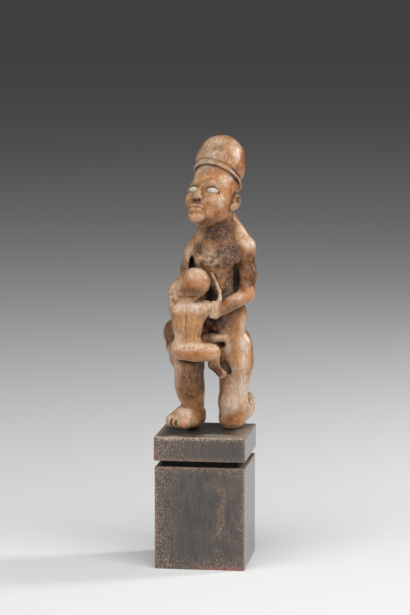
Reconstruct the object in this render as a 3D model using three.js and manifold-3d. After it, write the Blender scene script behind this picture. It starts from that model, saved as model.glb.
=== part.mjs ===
// A kneeling wooden figure that holds a child to its chest, on a square wooden plinth with a sawn groove.
// Millimetres, +Z up, -Y towards the viewer. The origin is the middle of the plinth's underside.
// The figure is one carved solid: each form of the body is a rounded field, the forms are blended as a
// carver blends them, and the surface where the blended field is zero becomes a closed mesh.
import * as THREE from "three";
import { SimplifyModifier } from "three/addons/modifiers/SimplifyModifier.js";
import { mergeVertices } from "three/addons/utils/BufferGeometryUtils.js";
import Module from "manifold-3d";

// Driving dimensions
const PLINTH = { side: 62.4, top: 63.4, height: 92.5, slab: 16.6, groove: 4.4, inset: 4.8, chamfer: 0.7 };
const REST_GAP = 0.2; // the figure stands on the plinth with this much air
const CELL = 1.35; // spacing of the grid that the body is meshed on
const BUDGET = 4300; // vertices that stay in the figure after it is thinned
const FIGURE_BOX = { low: [-33, -38, 0], high: [39, 42, 208] };
const HEAD = { at: [3.9, 4, 163], yaw: -22, pitch: 30 };
// The cap's edge is this far up the head, rises by tilt towards the forehead, and ends in a thin roll
const CAP = { up: 15, tilt: 0.17, roll: 1.3 };
const EYE = { apart: 13.6, out: 12.5, up: -1.6, radii: [4.7, 2.7, 2.5], lid: [5.7, 2.2, 3.5] };
const EYE_CLEARANCE = 0.35; // air between an inlay and its pocket

const wasm = await Module();
wasm.setup();

// Fields: each form is a function of x, y, z that is negative inside the wood

const join = (a, b, k) => {
  const h = Math.max(k - Math.abs(a - b), 0) / k;
  return Math.min(a, b) - (h * h * k) / 4;
};
const union = (k, ...forms) => (x, y, z) => forms.reduce((d, form) => join(d, form(x, y, z), k), 1e3);
const carve = (body, tool, k) => (x, y, z) => -join(-body(x, y, z), tool(x, y, z), k);

function egg([cx, cy, cz], [rx, ry, rz]) {
  return (x, y, z) => {
    const [u, v, w] = [(x - cx) / rx, (y - cy) / ry, (z - cz) / rz];
    const near = Math.hypot(u, v, w);
    return near < 1e-6 ? -Math.min(rx, ry, rz) : (near * (near - 1)) / Math.hypot(u / rx, v / ry, w / rz);
  };
}

// A rod with round ends whose radius changes evenly from ra to rb
function limb([ax, ay, az], [bx, by, bz], ra, rb) {
  const [dx, dy, dz] = [bx - ax, by - ay, bz - az];
  const length2 = dx * dx + dy * dy + dz * dz;
  return (x, y, z) => {
    const [px, py, pz] = [x - ax, y - ay, z - az];
    const t = Math.min(1, Math.max(0, (px * dx + py * dy + pz * dz) / length2));
    return Math.hypot(px - t * dx, py - t * dy, pz - t * dz) - (ra + (rb - ra) * t);
  };
}

const chain = (k, points, radii) =>
  union(k, ...points.slice(1).map((p, i) => limb(points[i], p, radii[i], radii[i + 1])));

// A frame turned by yaw and then pitched back, set at a place
function frameMatrix({ at, yaw, pitch }) {
  const turn = new THREE.Euler(-THREE.MathUtils.degToRad(pitch), 0, THREE.MathUtils.degToRad(yaw), "ZYX");
  return new THREE.Matrix4().makeRotationFromEuler(turn).setPosition(...at);
}

// A form made about its own origin, set in a frame
function placed(frame, form) {
  const m = frameMatrix(frame).invert().elements;
  return (x, y, z) =>
    form(
      m[0] * x + m[4] * y + m[8] * z + m[12],
      m[1] * x + m[5] * y + m[9] * z + m[13],
      m[2] * x + m[6] * y + m[10] * z + m[14],
    );
}

// The adult

function torso() {
  const trunk = union(
    8,
    egg([6, 8.5, 112], [14.2, 11.5, 19]),
    egg([9.4, 6.8, 83], [15.8, 10.8, 21]),
    egg([10.5, 12.5, 59.5], [20, 13, 13.5]),
    egg([13.4, 9, 78.5], [13.2, 10.5, 13]),
  );
  const shoulders = chain(6, [[-7, 11, 123], [8, 11, 128], [24.5, 12, 124.5]], [7.6, 8.5, 8.3]);
  const neck = union(
    4,
    limb([7, 9.5, 126], [6.5, 9, 150], 12, 11),
    limb([14.5, 11, 146], [24.5, 12, 128], 6.2, 8.3),
    limb([3, 11, 144], [-5.5, 11.5, 127], 6, 8),
  );
  const pair = (k, [ax, bx], y, z, radii) => union(k, egg([ax, y, z], radii), egg([bx, y, z], radii));
  const breasts = pair(2, [-1.5, 14.8], 1.2, 118.5, [6.4, 4.8, 6.3]);
  const blades = pair(2, [-1, 16.5], 17.6, 117, [7.5, 4.4, 9.5]);
  const buttocks = pair(2.5, [0.5, 19], 21.5, 60, [10.4, 9, 10.5]);
  const web = limb([21.5, 12, 114], [23, 10, 95], 4.4, 4.2);
  const armpit = union(2, web, egg([19.8, 3.8, 121], [4, 4.4, 4.6]));
  const back = limb([7.8, 22.6, 124], [9.8, 21, 84], 2.2, 2.2);
  return carve(union(4, union(5, trunk, shoulders, neck), breasts, blades, buttocks, armpit), back, 3);
}

function kneelingLeg() {
  const thigh = chain(
    7,
    [[19.8, 12, 57], [19.6, 11, 46], [18.8, 9.5, 32], [18.3, 9, 18], [17.7, 9, 8.2]],
    [12, 10.9, 8.5, 8.8, 8.1],
  );
  const knee = limb([14.9, 8.5, 6.4], [20.5, 9, 6.4], 6.3, 6.3);
  const calf = limb([19, 13, 9], [24, 26, 9.5], 8, 6.2);
  const foot = chain(3, [[26, 27, 18.8], [25.5, 28.5, 12], [21.5, 30, 4.8]], [4.4, 4.8, 4.2]);
  const toes = [0, 1, 2, 3].map((i) => limb([15 + 2.7 * i, 30, 4.6], [15 + 2.7 * i, 33.2, 2.4], 2.1, 1.7));
  return union(3, thigh, knee, calf, union(0.8, foot, ...toes));
}

// The thigh rises to a knee at the far side and the shin drops from it. A fold of the lap ends in a rim.
function raisedLeg() {
  const thigh = union(
    5,
    limb([4, 13, 62], [-17.6, 0.5, 68], 12.5, 10.3),
    limb([-17.8, -0.5, 67.5], [-10.6, -7, 46], 10.6, 9.4),
  );
  const shin = chain(
    6,
    [[-10, -7.6, 46], [-10.8, -4.5, 35], [-10.2, -1, 27], [-8.7, 2.5, 18]],
    [9.6, 9, 8.2, 7.6],
  );
  const fold = chain(2, [[-4, -6, 64.6], [6, -6, 65.4], [13.2, -3.4, 65.6]], [3.6, 3, 2.9]);
  const rim = union(
    2,
    limb([14.6, -1.6, 64], [13.6, 0.2, 56.5], 1.9, 1.6),
    limb([16.5, 1.5, 65], [16, 2.6, 55], 3, 2.6),
  );
  return union(1, union(2.5, union(5, thigh, shin), fold, rim), plantedFoot());
}

// A block with a steep front and a flat side, the big toe marked off by a cut, and its front edge lifted
function plantedFoot() {
  const block = union(
    2.2,
    egg([-8.8, 8, 9], [8, 9, 9.6]),
    egg([-13, 1, 9.8], [8.6, 8, 7.6]),
    limb([-10.4, -2.2, 15.6], [-11.8, -6.6, 6.5], 3.1, 3.6),
    limb([-14.6, -0.8, 15.2], [-23.6, -0.8, 7], 3.2, 3.6),
    limb([-23.6, -1.6, 5.4], [-13.6, -6.6, 5.6], 3.8, 4),
    limb([-9.2, -3.6, 6.4], [-7.2, 4, 8], 4.4, 6.4),
  );
  const bigToe = egg([-14, -7.8, 5], [4.8, 3.2, 3.5]);
  const toeGap = limb([-19.7, -7.4, 9.5], [-19.9, -7.6, 1], 0.9, 1.1);
  const lifted = egg([-17, -9.5, -0.8], [9.5, 5, 2.4]);
  return carve(union(1.2, block, bigToe), union(0.3, toeGap, lifted), 0.6);
}

function leftArm() {
  const upper = chain(5, [[26.3, 12, 122], [27.8, 9.5, 108], [28.2, 5, 97]], [7, 5.8, 5.9]);
  const fore = limb([27.4, 3, 95], [14, -13.5, 87.4], 5.9, 4.7);
  const palm = egg([10, -16.4, 87], [4, 3.8, 5.6]);
  const thumb = limb([11.4, -17.6, 90.6], [8, -19.2, 92.4], 1.5, 1.1);
  const tips = fingers([9.2, -18, 90], [-3.4, 0, 0.2], [0.1, 0, -2.6]);
  const hand = union(1, union(3, fore, palm), thumb, ...tips);
  return union(2.5, upper, hand);
}

function rightArm() {
  const upper = chain(5, [[-9.6, 11.5, 123], [-13, 7.5, 112.5], [-13.6, 3, 104.5]], [6.8, 4.4, 4.6]);
  const fore = limb([-14, 2, 104], [-16.4, -11, 102.5], 4.6, 4.8);
  const backOfHand = limb([-17.8, -14, 99.6], [-10.6, -12.5, 109], 5.2, 4.6);
  const palm = egg([-17.2, -15.6, 97], [5.6, 4.8, 8]);
  const tips = fingers([-22.2, -14.5, 99], [1.2, -6.2, -0.2], [0.25, 0, -3.1]);
  const hand = union(0.8, union(3, fore, backOfHand, palm), ...tips);
  return union(2.5, upper, hand);
}

// Four fingers side by side: each runs along reach, and the next one starts a step further
function fingers(start, reach, step) {
  return [0, 1, 2, 3].map((i) => {
    const knuckle = start.map((v, axis) => v + step[axis] * i);
    return limb(knuckle, knuckle.map((v, axis) => v + reach[axis]), 1.9, 1.6);
  });
}

const both = (k, form) => union(k, form(-1), form(1));

// The head about its own centre, facing -Y: thirds from hairline to brow, brow to nose and nose to chin
function head() {
  const skull = union(7, egg([0, 0.5, 8], [15.4, 17.4, 24]), egg([0, -4.5, -11.5], [11.6, 12.6, 12.6]));
  const cheeks = both(3, (side) => egg([side * 8.2, -10, -7.8], [4.8, 4.6, 4.4]));
  const jaw = both(3, (side) => egg([side * 9.4, 1.5, -7], [5.4, 9, 10]));
  const brow = both(3, (side) =>
    chain(
      3,
      [[side * 2.6, -15.1, 3], [side * 6.4, -14.5, 3.9], [side * 10.4, -12.2, 2.4]],
      [1.3, 1.4, 1.2],
    ),
  );
  const nose = union(
    1.5,
    limb([0, -15.6, 1], [0, -19.4, -8.2], 1.7, 2.4),
    egg([0, -17.4, -9.3], [4, 3, 2.1]),
  );
  const lips = union(0.4, egg([0, -15.9, -14.9], [5.6, 2.4, 1.6]), egg([0, -15.6, -17.5], [5, 2.5, 1.8]));
  const chin = egg([0, -12.4, -21.8], [6, 4.6, 4]);
  const face = union(1.6, union(4, skull, cheeks, jaw), brow, nose, union(3, lips, chin));
  const sockets = both(2, (side) => egg([side * 7, -18.6, EYE.up], [5.4, 3.8, 3.6]));
  const lids = both(1, (side) => egg([(side * EYE.apart) / 2, -EYE.out, EYE.up], EYE.lid));
  return union(0.6, carve(face, sockets, 1.6), lids, both(2, ear));
}

// An ear's rim and lobe, hollowed towards the cheek
function ear(side) {
  const rim = egg([side * 17, 5.4, -0.6], [3, 4, 5.6]);
  const lobe = egg([side * 16.2, 3, -6.2], [2, 2.4, 2.8]);
  const hollow = egg([side * 19.4, 2.6, 0.4], [2.3, 2.8, 3.6]);
  const towardsCheek = egg([side * 17.6, 0.8, -0.8], [2.4, 1.9, 4]);
  return carve(union(1.5, rim, lobe), union(0.5, hollow, towardsCheek), 0.5);
}

// A tall domed cap worn back on the head, with a thin roll round its edge
function cap() {
  const dome = union(8, egg([-0.8, 0.3, 29], [16.3, 17, 16.4]), egg([0, 0.5, 21], [15.8, 17, 8.5]));
  const above = (y, z) => z - CAP.up + CAP.tilt * y;
  const roll = (x, y, z) => {
    const out = (Math.hypot(x / 15.9, (y - 0.6) / 17.5) - 1) * 16.7;
    return Math.hypot(out, above(y, z)) - CAP.roll;
  };
  return union(0.5, (x, y, z) => Math.max(dome(x, y, z), -above(y, z)), roll);
}

// The child, astride the raised thigh with its back to the viewer

function child() {
  const trunk = union(
    4,
    limb([-17.8, -18.6, 88.6], [0.8, -18.6, 88.6], 4.2, 4.2),
    egg([-8.6, -18.6, 85.5], [13.4, 7.2, 9.5]),
    egg([-9.8, -19, 75], [10.2, 7.2, 13]),
    egg([-9.4, -20, 60], [12.4, 9, 8.4]),
  );
  const skull = union(
    4,
    egg([-4.6, -18.5, 105.6], [10.3, 10.6, 10.3]),
    egg([-9.8, -18.3, 99.8], [9.6, 9.2, 7.4]),
  );
  const neck = union(
    3,
    limb([-9.5, -18, 97], [-10, -18, 91], 7.4, 7.4),
    egg([-15.2, -17, 96.5], [6, 7.4, 7]),
  );
  const nape = chain(1, [[-16, -25.2, 96], [-9.5, -27.4, 96.2], [-3.5, -25.4, 96]], [0.7, 0.7, 0.7]);
  const farLeg = chain(
    3,
    [[-14, -19, 58.5], [-21, -8, 60], [-20.6, 0, 49.5], [-18, -5, 43.5]],
    [6.8, 5, 4, 3],
  );
  const nearArm = chain(
    1.2,
    [
      [2, -18.6, 89.4],
      [9, -16.4, 89.4],
      [12, -14, 93.6],
      [11.2, -12, 99],
      [8.6, -9.4, 104],
      [5.2, -4.6, 109.8],
    ],
    [4, 2.6, 1.6, 1.5, 1.5, 1.8],
  );
  const farArm = chain(1.5, [[-17, -18, 90.8], [-17, -9, 97], [-10, -3, 105]], [4, 3.4, 2.8]);
  const body = carve(union(1.2, trunk, union(3, skull, neck)), nape, 2);
  return union(1.2, body, childNearLeg(), farLeg, nearArm, farArm);
}

// The thigh lies across the lap and is cut flat beneath. The shin hangs from it to a small foot.
function childNearLeg() {
  const under = egg([-5, -20, 46.4], [24, 12, 5]);
  const thigh = carve(limb([-4, -20.5, 57.6], [6.4, -19.5, 57.4], 7.1, 6.5), under, 0.6);
  const shin = limb([8, -17, 53.5], [7.4, -14, 48.6], 4.2, 3.6);
  const foot = union(
    1,
    limb([7.4, -13.4, 48], [12.6, -10, 41], 3.5, 2.4),
    limb([9.6, -15.8, 48.4], [14.8, -12.4, 41.8], 1.5, 1.2),
  );
  return union(1.5, thigh, shin, foot);
}

// Deep cuts: between each arm and the trunk, in the lap's fold, and on the thigh beside the child's foot
function deepCuts() {
  return union(
    0.5,
    egg([20.8, -0.5, 106], [2.6, 7.4, 10.6]),
    egg([-10, 0.4, 115.6], [1.9, 6.6, 6.4]),
    limb([11.6, -1.6, 50], [16, 0, 42], 2.6, 2.4),
    egg([10.6, -2.6, 60.6], [3.4, 4, 2.9]),
    limb([12, -4.5, 58.5], [11.4, -5, 51.5], 1.2, 0.9),
  );
}

function figureField() {
  const limbs = union(2, torso(), kneelingLeg(), raisedLeg(), leftArm(), rightArm());
  const adult = union(4, limbs, placed(HEAD, union(0.5, head(), cap())));
  return union(0.8, carve(adult, deepCuts(), 1.2), child());
}

// Surface nets: one vertex in each grid cell that the surface crosses, at the mean of its edge crossings

const MARGIN = 2; // empty grid layers round the box

function surfaceOf(field, { low, high }, cell) {
  const n = low.map((v, axis) => Math.ceil((high[axis] - v) / cell) + 2 * MARGIN);
  const at = (axis, i) => low[axis] + (i - MARGIN) * cell;
  const index = (i, j, k) => (k * n[1] + j) * n[0] + i;
  const value = new Float64Array(n[0] * n[1] * n[2]);
  for (let k = 0; k < n[2]; k++)
    for (let j = 0; j < n[1]; j++)
      for (let i = 0; i < n[0]; i++)
        value[index(i, j, k)] = Math.max(field(at(0, i), at(1, j), at(2, k)), -at(2, k) - 1e-3);
  fillCheckers(value, n, index);

  const vertices = [];
  const vertexOf = new Map();
  const cellVertex = (i, j, k) => {
    const key = index(i, j, k);
    if (!vertexOf.has(key)) {
      vertexOf.set(key, vertices.length / 3);
      const crossing = meanCrossing(value, index, [i, j, k]);
      vertices.push(...crossing.map((v, axis) => low[axis] + (v - MARGIN) * cell));
    }
    return vertexOf.get(key);
  };
  const faces = [];
  const steps = [[1, 0, 0], [0, 1, 0], [0, 0, 1]];
  for (let k = 1; k < n[2] - 1; k++)
    for (let j = 1; j < n[1] - 1; j++)
      for (let i = 1; i < n[0] - 1; i++)
        steps.forEach((step, axis) => {
          const inside = value[index(i, j, k)] < 0;
          if (inside === value[index(i + step[0], j + step[1], k + step[2])] < 0) return;
          const [u, v] = [steps[(axis + 1) % 3], steps[(axis + 2) % 3]];
          const ring = [[1, 1], [0, 1], [0, 0], [1, 0]].map(([a, b]) =>
            cellVertex(i - a * u[0] - b * v[0], j - a * u[1] - b * v[1], k - a * u[2] - b * v[2]),
          );
          if (!inside) ring.reverse();
          faces.push(ring[0], ring[1], ring[2], ring[0], ring[2], ring[3]);
        });
  return { vertices: new Float32Array(vertices), faces: new Uint32Array(faces) };
}

// Where two corners of a grid face are inside across a diagonal, two sheets would meet on one edge,
// so wood fills one of the other two
function fillCheckers(value, n, index) {
  const faces = [[[1, 0, 0], [0, 1, 0]], [[0, 1, 0], [0, 0, 1]], [[0, 0, 1], [1, 0, 0]]];
  let filled = true;
  while (filled) {
    filled = false;
    for (let k = 0; k < n[2] - 1; k++)
      for (let j = 0; j < n[1] - 1; j++)
        for (let i = 0; i < n[0] - 1; i++)
          for (const [u, v] of faces) {
            const a = index(i, j, k);
            const b = index(i + u[0], j + u[1], k + u[2]);
            const c = index(i + u[0] + v[0], j + u[1] + v[1], k + u[2] + v[2]);
            const d = index(i + v[0], j + v[1], k + v[2]);
            const [ia, ib, ic, id] = [a, b, c, d].map((s) => value[s] < 0);
            if (ia !== ic || ib !== id || ia === ib) continue;
            value[ia ? b : a] = -0.05;
            filled = true;
          }
  }
}

function meanCrossing(value, index, [i, j, k]) {
  const sum = [0, 0, 0];
  let count = 0;
  for (let corner = 0; corner < 8; corner++)
    for (let axis = 0; axis < 3; axis++) {
      if (corner & (1 << axis)) continue;
      const p = [corner & 1, (corner >> 1) & 1, (corner >> 2) & 1];
      const q = p.map((v, a) => (a === axis ? 1 : v));
      const a = value[index(i + p[0], j + p[1], k + p[2])];
      const b = value[index(i + q[0], j + q[1], k + q[2])];
      if (a < 0 === b < 0) continue;
      p[axis] = a / (a - b);
      p.forEach((v, s) => (sum[s] += v));
      count++;
    }
  return [i, j, k].map((v, s) => v + sum[s] / count);
}

// The mesh of the field has far too many small facets, so those that change the shape least are merged away

async function thinned(vertices, faces, keep) {
  const geometry = new THREE.BufferGeometry();
  geometry.setAttribute("position", new THREE.BufferAttribute(vertices, 3));
  geometry.setIndex(new THREE.BufferAttribute(faces, 1));
  return new SimplifyModifier().modify(geometry, vertices.length / 3 - keep);
}

// Manifold's form of a three.js geometry, and back
function solidOf(geometry) {
  const bare = geometry.clone();
  for (const name of Object.keys(bare.attributes)) if (name !== "position") bare.deleteAttribute(name);
  const merged = mergeVertices(bare, 1e-4);
  const mesh = new wasm.Mesh({
    numProp: 3,
    vertProperties: new Float32Array(merged.attributes.position.array),
    triVerts: new Uint32Array(merged.index.array),
  });
  return new wasm.Manifold(mesh);
}

// The largest of a solid's skins, so that a bubble sealed in the wood is filled
const outerSkin = (solid) => solid.decompose().sort((a, b) => b.volume() - a.volume())[0];

function geometryOf(solid) {
  const mesh = solid.getMesh();
  const geometry = new THREE.BufferGeometry();
  geometry.setAttribute("position", new THREE.BufferAttribute(mesh.vertProperties, 3));
  geometry.setIndex(new THREE.BufferAttribute(mesh.triVerts, 1));
  geometry.computeVertexNormals();
  return geometry;
}

// An eye inlay is a flat egg in a pocket of the same shape that is larger by the clearance
function eyeEgg(side, grow) {
  const [rx, ry, rz] = EYE.radii.map((r) => r + grow);
  return new THREE.SphereGeometry(1, 14, 8)
    .scale(rx, ry, rz)
    .translate((side * EYE.apart) / 2, -EYE.out, EYE.up);
}

// The plinth: a four-sided lathe turns its stepped profile into a square block with a groove all round,
// under a slab that stands out a little

function plinthGeometry() {
  const { side, top, height, slab, groove, inset, chamfer } = PLINTH;
  const [body, lid, inner] = [side, top, side - 2 * inset].map((width) => width / Math.SQRT2);
  const under = height - slab;
  const profile = [
    [0, 0],
    [body - chamfer, 0],
    [body, chamfer],
    [body, under - groove - chamfer],
    [body - chamfer, under - groove],
    [inner, under - groove],
    [inner, under],
    [lid - chamfer, under],
    [lid, under + chamfer],
    [lid, height - chamfer],
    [lid - chamfer, height],
    [0, height],
  ].map(([r, z]) => new THREE.Vector2(r, z));
  return new THREE.LatheGeometry(profile, 4, Math.PI / 4).rotateX(Math.PI / 2);
}

const wood = new THREE.MeshStandardMaterial({ color: 0x9a6b45, roughness: 0.45, metalness: 0 });
const darkWood = new THREE.MeshStandardMaterial({ color: 0x3f3733, roughness: 0.6, metalness: 0 });
const paleInlay = new THREE.MeshStandardMaterial({ color: 0xb9b2a4, roughness: 0.25, metalness: 0 });

const headFrame = new THREE.Group();
headFrame.applyMatrix4(frameMatrix(HEAD));
const { vertices, faces } = surfaceOf(figureField(), FIGURE_BOX, CELL);
let carved = outerSkin(solidOf(await thinned(vertices, faces, BUDGET)));
for (const side of [-1, 1]) {
  carved = carved.subtract(solidOf(eyeEgg(side, EYE_CLEARANCE).applyMatrix4(headFrame.matrix)));
  const inlay = new THREE.Mesh(geometryOf(solidOf(eyeEgg(side, 0))), paleInlay);
  inlay.name = side < 0 ? "eye_inlay_right" : "eye_inlay_left";
  headFrame.add(inlay);
}
const figure = new THREE.Mesh(geometryOf(carved), wood);
figure.name = "figure";

const onPlinth = new THREE.Group();
onPlinth.position.z = PLINTH.height + REST_GAP;
onPlinth.add(figure, headFrame);

const plinth = new THREE.Mesh(plinthGeometry(), darkWood);
plinth.name = "plinth";

const statuette = new THREE.Group();
statuette.add(onPlinth, plinth);
export default statuette;
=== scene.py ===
import math

import bpy
import numpy as np
from mathutils import Matrix, Vector


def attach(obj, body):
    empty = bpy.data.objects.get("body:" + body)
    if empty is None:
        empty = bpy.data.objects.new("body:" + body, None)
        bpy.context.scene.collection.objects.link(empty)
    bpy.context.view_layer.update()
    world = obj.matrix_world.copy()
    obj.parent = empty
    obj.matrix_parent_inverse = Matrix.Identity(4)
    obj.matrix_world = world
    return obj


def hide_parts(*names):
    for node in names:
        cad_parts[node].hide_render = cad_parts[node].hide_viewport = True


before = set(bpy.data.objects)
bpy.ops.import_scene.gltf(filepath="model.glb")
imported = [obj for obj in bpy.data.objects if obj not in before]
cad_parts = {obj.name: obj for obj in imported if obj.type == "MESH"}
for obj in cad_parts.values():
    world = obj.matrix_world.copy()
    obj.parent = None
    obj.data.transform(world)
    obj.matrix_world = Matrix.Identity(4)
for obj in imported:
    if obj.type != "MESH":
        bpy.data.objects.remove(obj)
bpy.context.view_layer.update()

MM = 0.001

# Sizes in millimetres. The figure's own forms are measured from the plinth's top, with the sole at zero.
PLINTH_SIDE = 62.4
SLAB_SIDE = 63.4
PLINTH_HEIGHT = 92.5
SLAB = 16.6
GROOVE = 4.4
GROOVE_DEPTH = 4.8
PLINTH_CORNER = 0.8
EDGE_WEAR = 0.7
FOOT_WEAR = 1.2
REST_GAP = 0.2
FIGURE_LOW = (-33, -34, 0)
FIGURE_HIGH = (38, 38, 207)
CELL = 0.8
FAR_OFF = 30
SOLE = -0.001
HEAD_PLACE = (3.9, 4, 163)
HEAD_YAW = -22
HEAD_PITCH = 30
EYE_APART = 13.6
EYE_OUT = 12.5
EYE_UP = -1.6
EYE_RADII = (4.7, 2.7, 2.5)
EYE_LID = (5.7, 2.2, 3.5)
EYE_CLEARANCE = 0.35
CAP_UP = 15
CAP_TILT = 0.17
CAP_LINE_UP = 2.7
RIM_HALF_WIDTH = 15.9
RIM_HALF_DEPTH = 17.5
RIM_BACK = 0.6
RIM_RADIUS = 1.3

# The knife's marks: how deep, how wide, and the seed of each layer
KNIFE_MARKS = ((0.26, 7, 1), (0.14, 3, 2))

# How far each measure of the surface looks, for the finish
SLOPE_REACH = 0.6
NEAR_REACHES = (1.5, 3)
FAR_REACHES = (3, 6, 12)
FINE_CREST = 1.2
BROAD_CREST = 4

# How deep a point of the plinth may lie and still be outside, and how deep it lies in the groove
PLINTH_SKIN = 1.2
GROOVE_SKIN = 2

# How far the plinth's wear fades from an edge, fine and broad
EDGE_FADE = 0.7
BROAD_FADE = 4

# Where the plinth's finish takes its left and front faces to be
FACE = -31


# Fields: each form is a function of x, y and z that is negative inside the wood


def join(a, b, k):
    """Two fields blended over k millimetres where they meet."""
    h = np.maximum(k - np.abs(a - b), 0) / k
    return np.minimum(a, b) - h * h * (k / 4)


def union(k, *forms):
    """The forms joined one after the other."""

    def form(x, y, z):
        field = forms[0](x, y, z)
        for other in forms[1:]:
            field = join(field, other(x, y, z), k)
        return field

    return form


def carve(body, tool, k):
    """The body without the tool's form, blended over k millimetres."""
    return lambda x, y, z: -join(-body(x, y, z), tool(x, y, z), k)


def egg(centre, radii):
    """An egg about its centre, with a radius along x, y and z."""

    def form(x, y, z):
        u, v, w = [(at - c) / r for at, c, r in zip((x, y, z), centre, radii)]
        near = np.sqrt(u * u + v * v + w * w) + 1e-6
        steep = np.sqrt((u / radii[0]) ** 2 + (v / radii[1]) ** 2 + (w / radii[2]) ** 2) + 1e-9
        return near * (near - 1) / steep

    return form


def limb(a, b, ra, rb):
    """A rod with round ends whose radius changes evenly from ra to rb."""
    d = [q - p for p, q in zip(a, b)]
    length2 = sum(v * v for v in d)

    def form(x, y, z):
        p = [at - start for at, start in zip((x, y, z), a)]
        t = np.clip((p[0] * d[0] + p[1] * d[1] + p[2] * d[2]) / length2, 0, 1)
        across = [part - t * step for part, step in zip(p, d)]
        return np.sqrt(across[0] ** 2 + across[1] ** 2 + across[2] ** 2) - (ra + (rb - ra) * t)

    return form


def chain(k, points, radii):
    """Limbs from each point to the next, with a radius at each point."""
    return union(k, *[limb(a, b, ra, rb) for a, b, ra, rb in zip(points, points[1:], radii, radii[1:])])


def pair(k, places, y, z, radii):
    """Two eggs alike, each at its own place along x."""
    return union(k, *[egg((x, y, z), radii) for x in places])


def both(k, form):
    """A form made for each side of the head, with side at -1 and 1."""
    return union(k, form(-1), form(1))


def within(low, high, form):
    """The form worked out inside a box only. Further off there is no wood of it."""

    def boxed(x, y, z):
        field = np.full((x.size, y.size, z.size), FAR_OFF, np.float32)
        cut = [
            np.flatnonzero((at.ravel() > lo) & (at.ravel() < hi))
            for at, lo, hi in zip((x, y, z), low, high)
        ]
        i, j, k = [slice(c[0], c[-1] + 1) for c in cut]
        field[i, j, k] = form(x[i], y[:, j], z[:, :, k])
        return field

    return boxed


def head_matrix():
    turn = Matrix.Rotation(math.radians(HEAD_YAW), 4, "Z")
    nod = Matrix.Rotation(math.radians(-HEAD_PITCH), 4, "X")
    return Matrix.Translation(HEAD_PLACE) @ (turn @ nod)


def in_head(form):
    """A form given in the head's own frame, put in the figure's."""
    m = np.array(head_matrix().inverted())

    def turned(x, y, z):
        return form(*[row[0] * x + row[1] * y + row[2] * z + row[3] for row in m[:3].astype(np.float32)])

    return turned


def unevenness(x, y, z, size, seed):
    """Smooth random values from -1 to 1 that change over the given size."""
    lattice = 64
    values = np.random.default_rng(seed).uniform(-1, 1, (lattice, lattice, lattice)).astype(np.float32)
    for axis, at in enumerate((x, y, z)):
        t = at.ravel() / size + 10 * lattice
        cell = np.floor(t).astype(int)
        t = (t - cell).astype(np.float32)
        t = (t * t * (3 - 2 * t)).reshape(-1, 1, 1)
        values = np.moveaxis(values, axis, 0)
        values = values[cell % lattice] * (1 - t) + values[(cell + 1) % lattice] * t
        values = np.moveaxis(values, 0, axis)
    return values


# The adult


def torso():
    trunk = union(
        8,
        egg((6, 8.5, 112), (14.2, 11.5, 19)),
        egg((9.4, 6.8, 83), (15.8, 10.8, 21)),
        egg((10.5, 12.5, 59.5), (20, 13, 13.5)),
        egg((13.4, 9, 78.5), (13.2, 10.5, 13)),
    )
    shoulders = chain(6, [(-7, 11, 123), (8, 11, 128), (24.5, 12, 124.5)], [7.6, 8.5, 8.3])
    neck = union(
        4,
        limb((7, 9.5, 126), (6.5, 9, 150), 12, 11),
        limb((14.5, 11, 146), (24.5, 12, 128), 6.2, 8.3),
        limb((3, 11, 144), (-5.5, 11.5, 127), 6, 8),
    )
    breasts = pair(2, (-1.5, 14.8), 1.2, 118.5, (6.4, 4.8, 6.3))
    nipples = pair(1, (-1.8, 15.2), -3.2, 117.8, (1.2, 0.9, 1.2))
    blades = pair(2, (-1, 16.5), 17.6, 117, (7.5, 4.4, 9.5))
    buttocks = pair(2.5, (0.5, 19), 21.5, 60, (10.4, 9, 10.5))
    back = limb((7.8, 22.6, 124), (9.8, 21, 84), 2.2, 2.2)
    armpit = union(
        2,
        limb((21.5, 12, 114), (23, 10, 95), 4.4, 4.2),
        egg((19.8, 3.8, 121), (4, 4.4, 4.6)),
    )
    whole = union(4, union(5, trunk, shoulders, neck), breasts, blades, buttocks, armpit)
    return carve(union(1, whole, nipples), back, 3)


def kneeling_leg():
    thigh = chain(
        7,
        [(19.8, 12, 57), (19.6, 11, 46), (18.8, 9.5, 32), (18.3, 9, 18), (17.7, 9, 8.2)],
        [12, 10.9, 8.5, 8.8, 8.1],
    )
    knee = limb((14.9, 8.5, 6.4), (20.5, 9, 6.4), 6.3, 6.3)
    calf = limb((19, 13, 9), (24, 26, 9.5), 8, 6.2)
    foot = chain(3, [(26, 27, 18.8), (25.5, 28.5, 12), (21.5, 30, 4.8)], [4.4, 4.8, 4.2])
    toes = [limb((15 + 2.7 * i, 30, 4.6), (15 + 2.7 * i, 33.2, 2.4), 2.1, 1.7) for i in range(4)]
    return union(3, thigh, knee, calf, union(0.8, foot, *toes))


def raised_leg():
    thigh = union(
        5,
        limb((4, 13, 62), (-17.6, 0.5, 68), 12.5, 10.3),
        limb((-17.8, -0.5, 67.5), (-10.6, -7, 46), 10.6, 9.4),
    )
    shin = chain(
        6,
        [(-10, -7.6, 46), (-10.8, -4.5, 35), (-10.2, -1, 27), (-8.7, 2.5, 18)],
        [9.6, 9, 8.2, 7.6],
    )
    fold = chain(2, [(-4, -6, 64.6), (6, -6, 65.4), (13.2, -3.4, 65.6)], [3.6, 3, 2.9])
    rim = union(
        2,
        limb((14.6, -1.6, 64), (13.6, 0.2, 56.5), 1.9, 1.6),
        limb((16.5, 1.5, 65), (16, 2.6, 55), 3, 2.6),
    )
    return union(1, union(2.5, union(5, thigh, shin), fold, rim), planted_foot())


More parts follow.
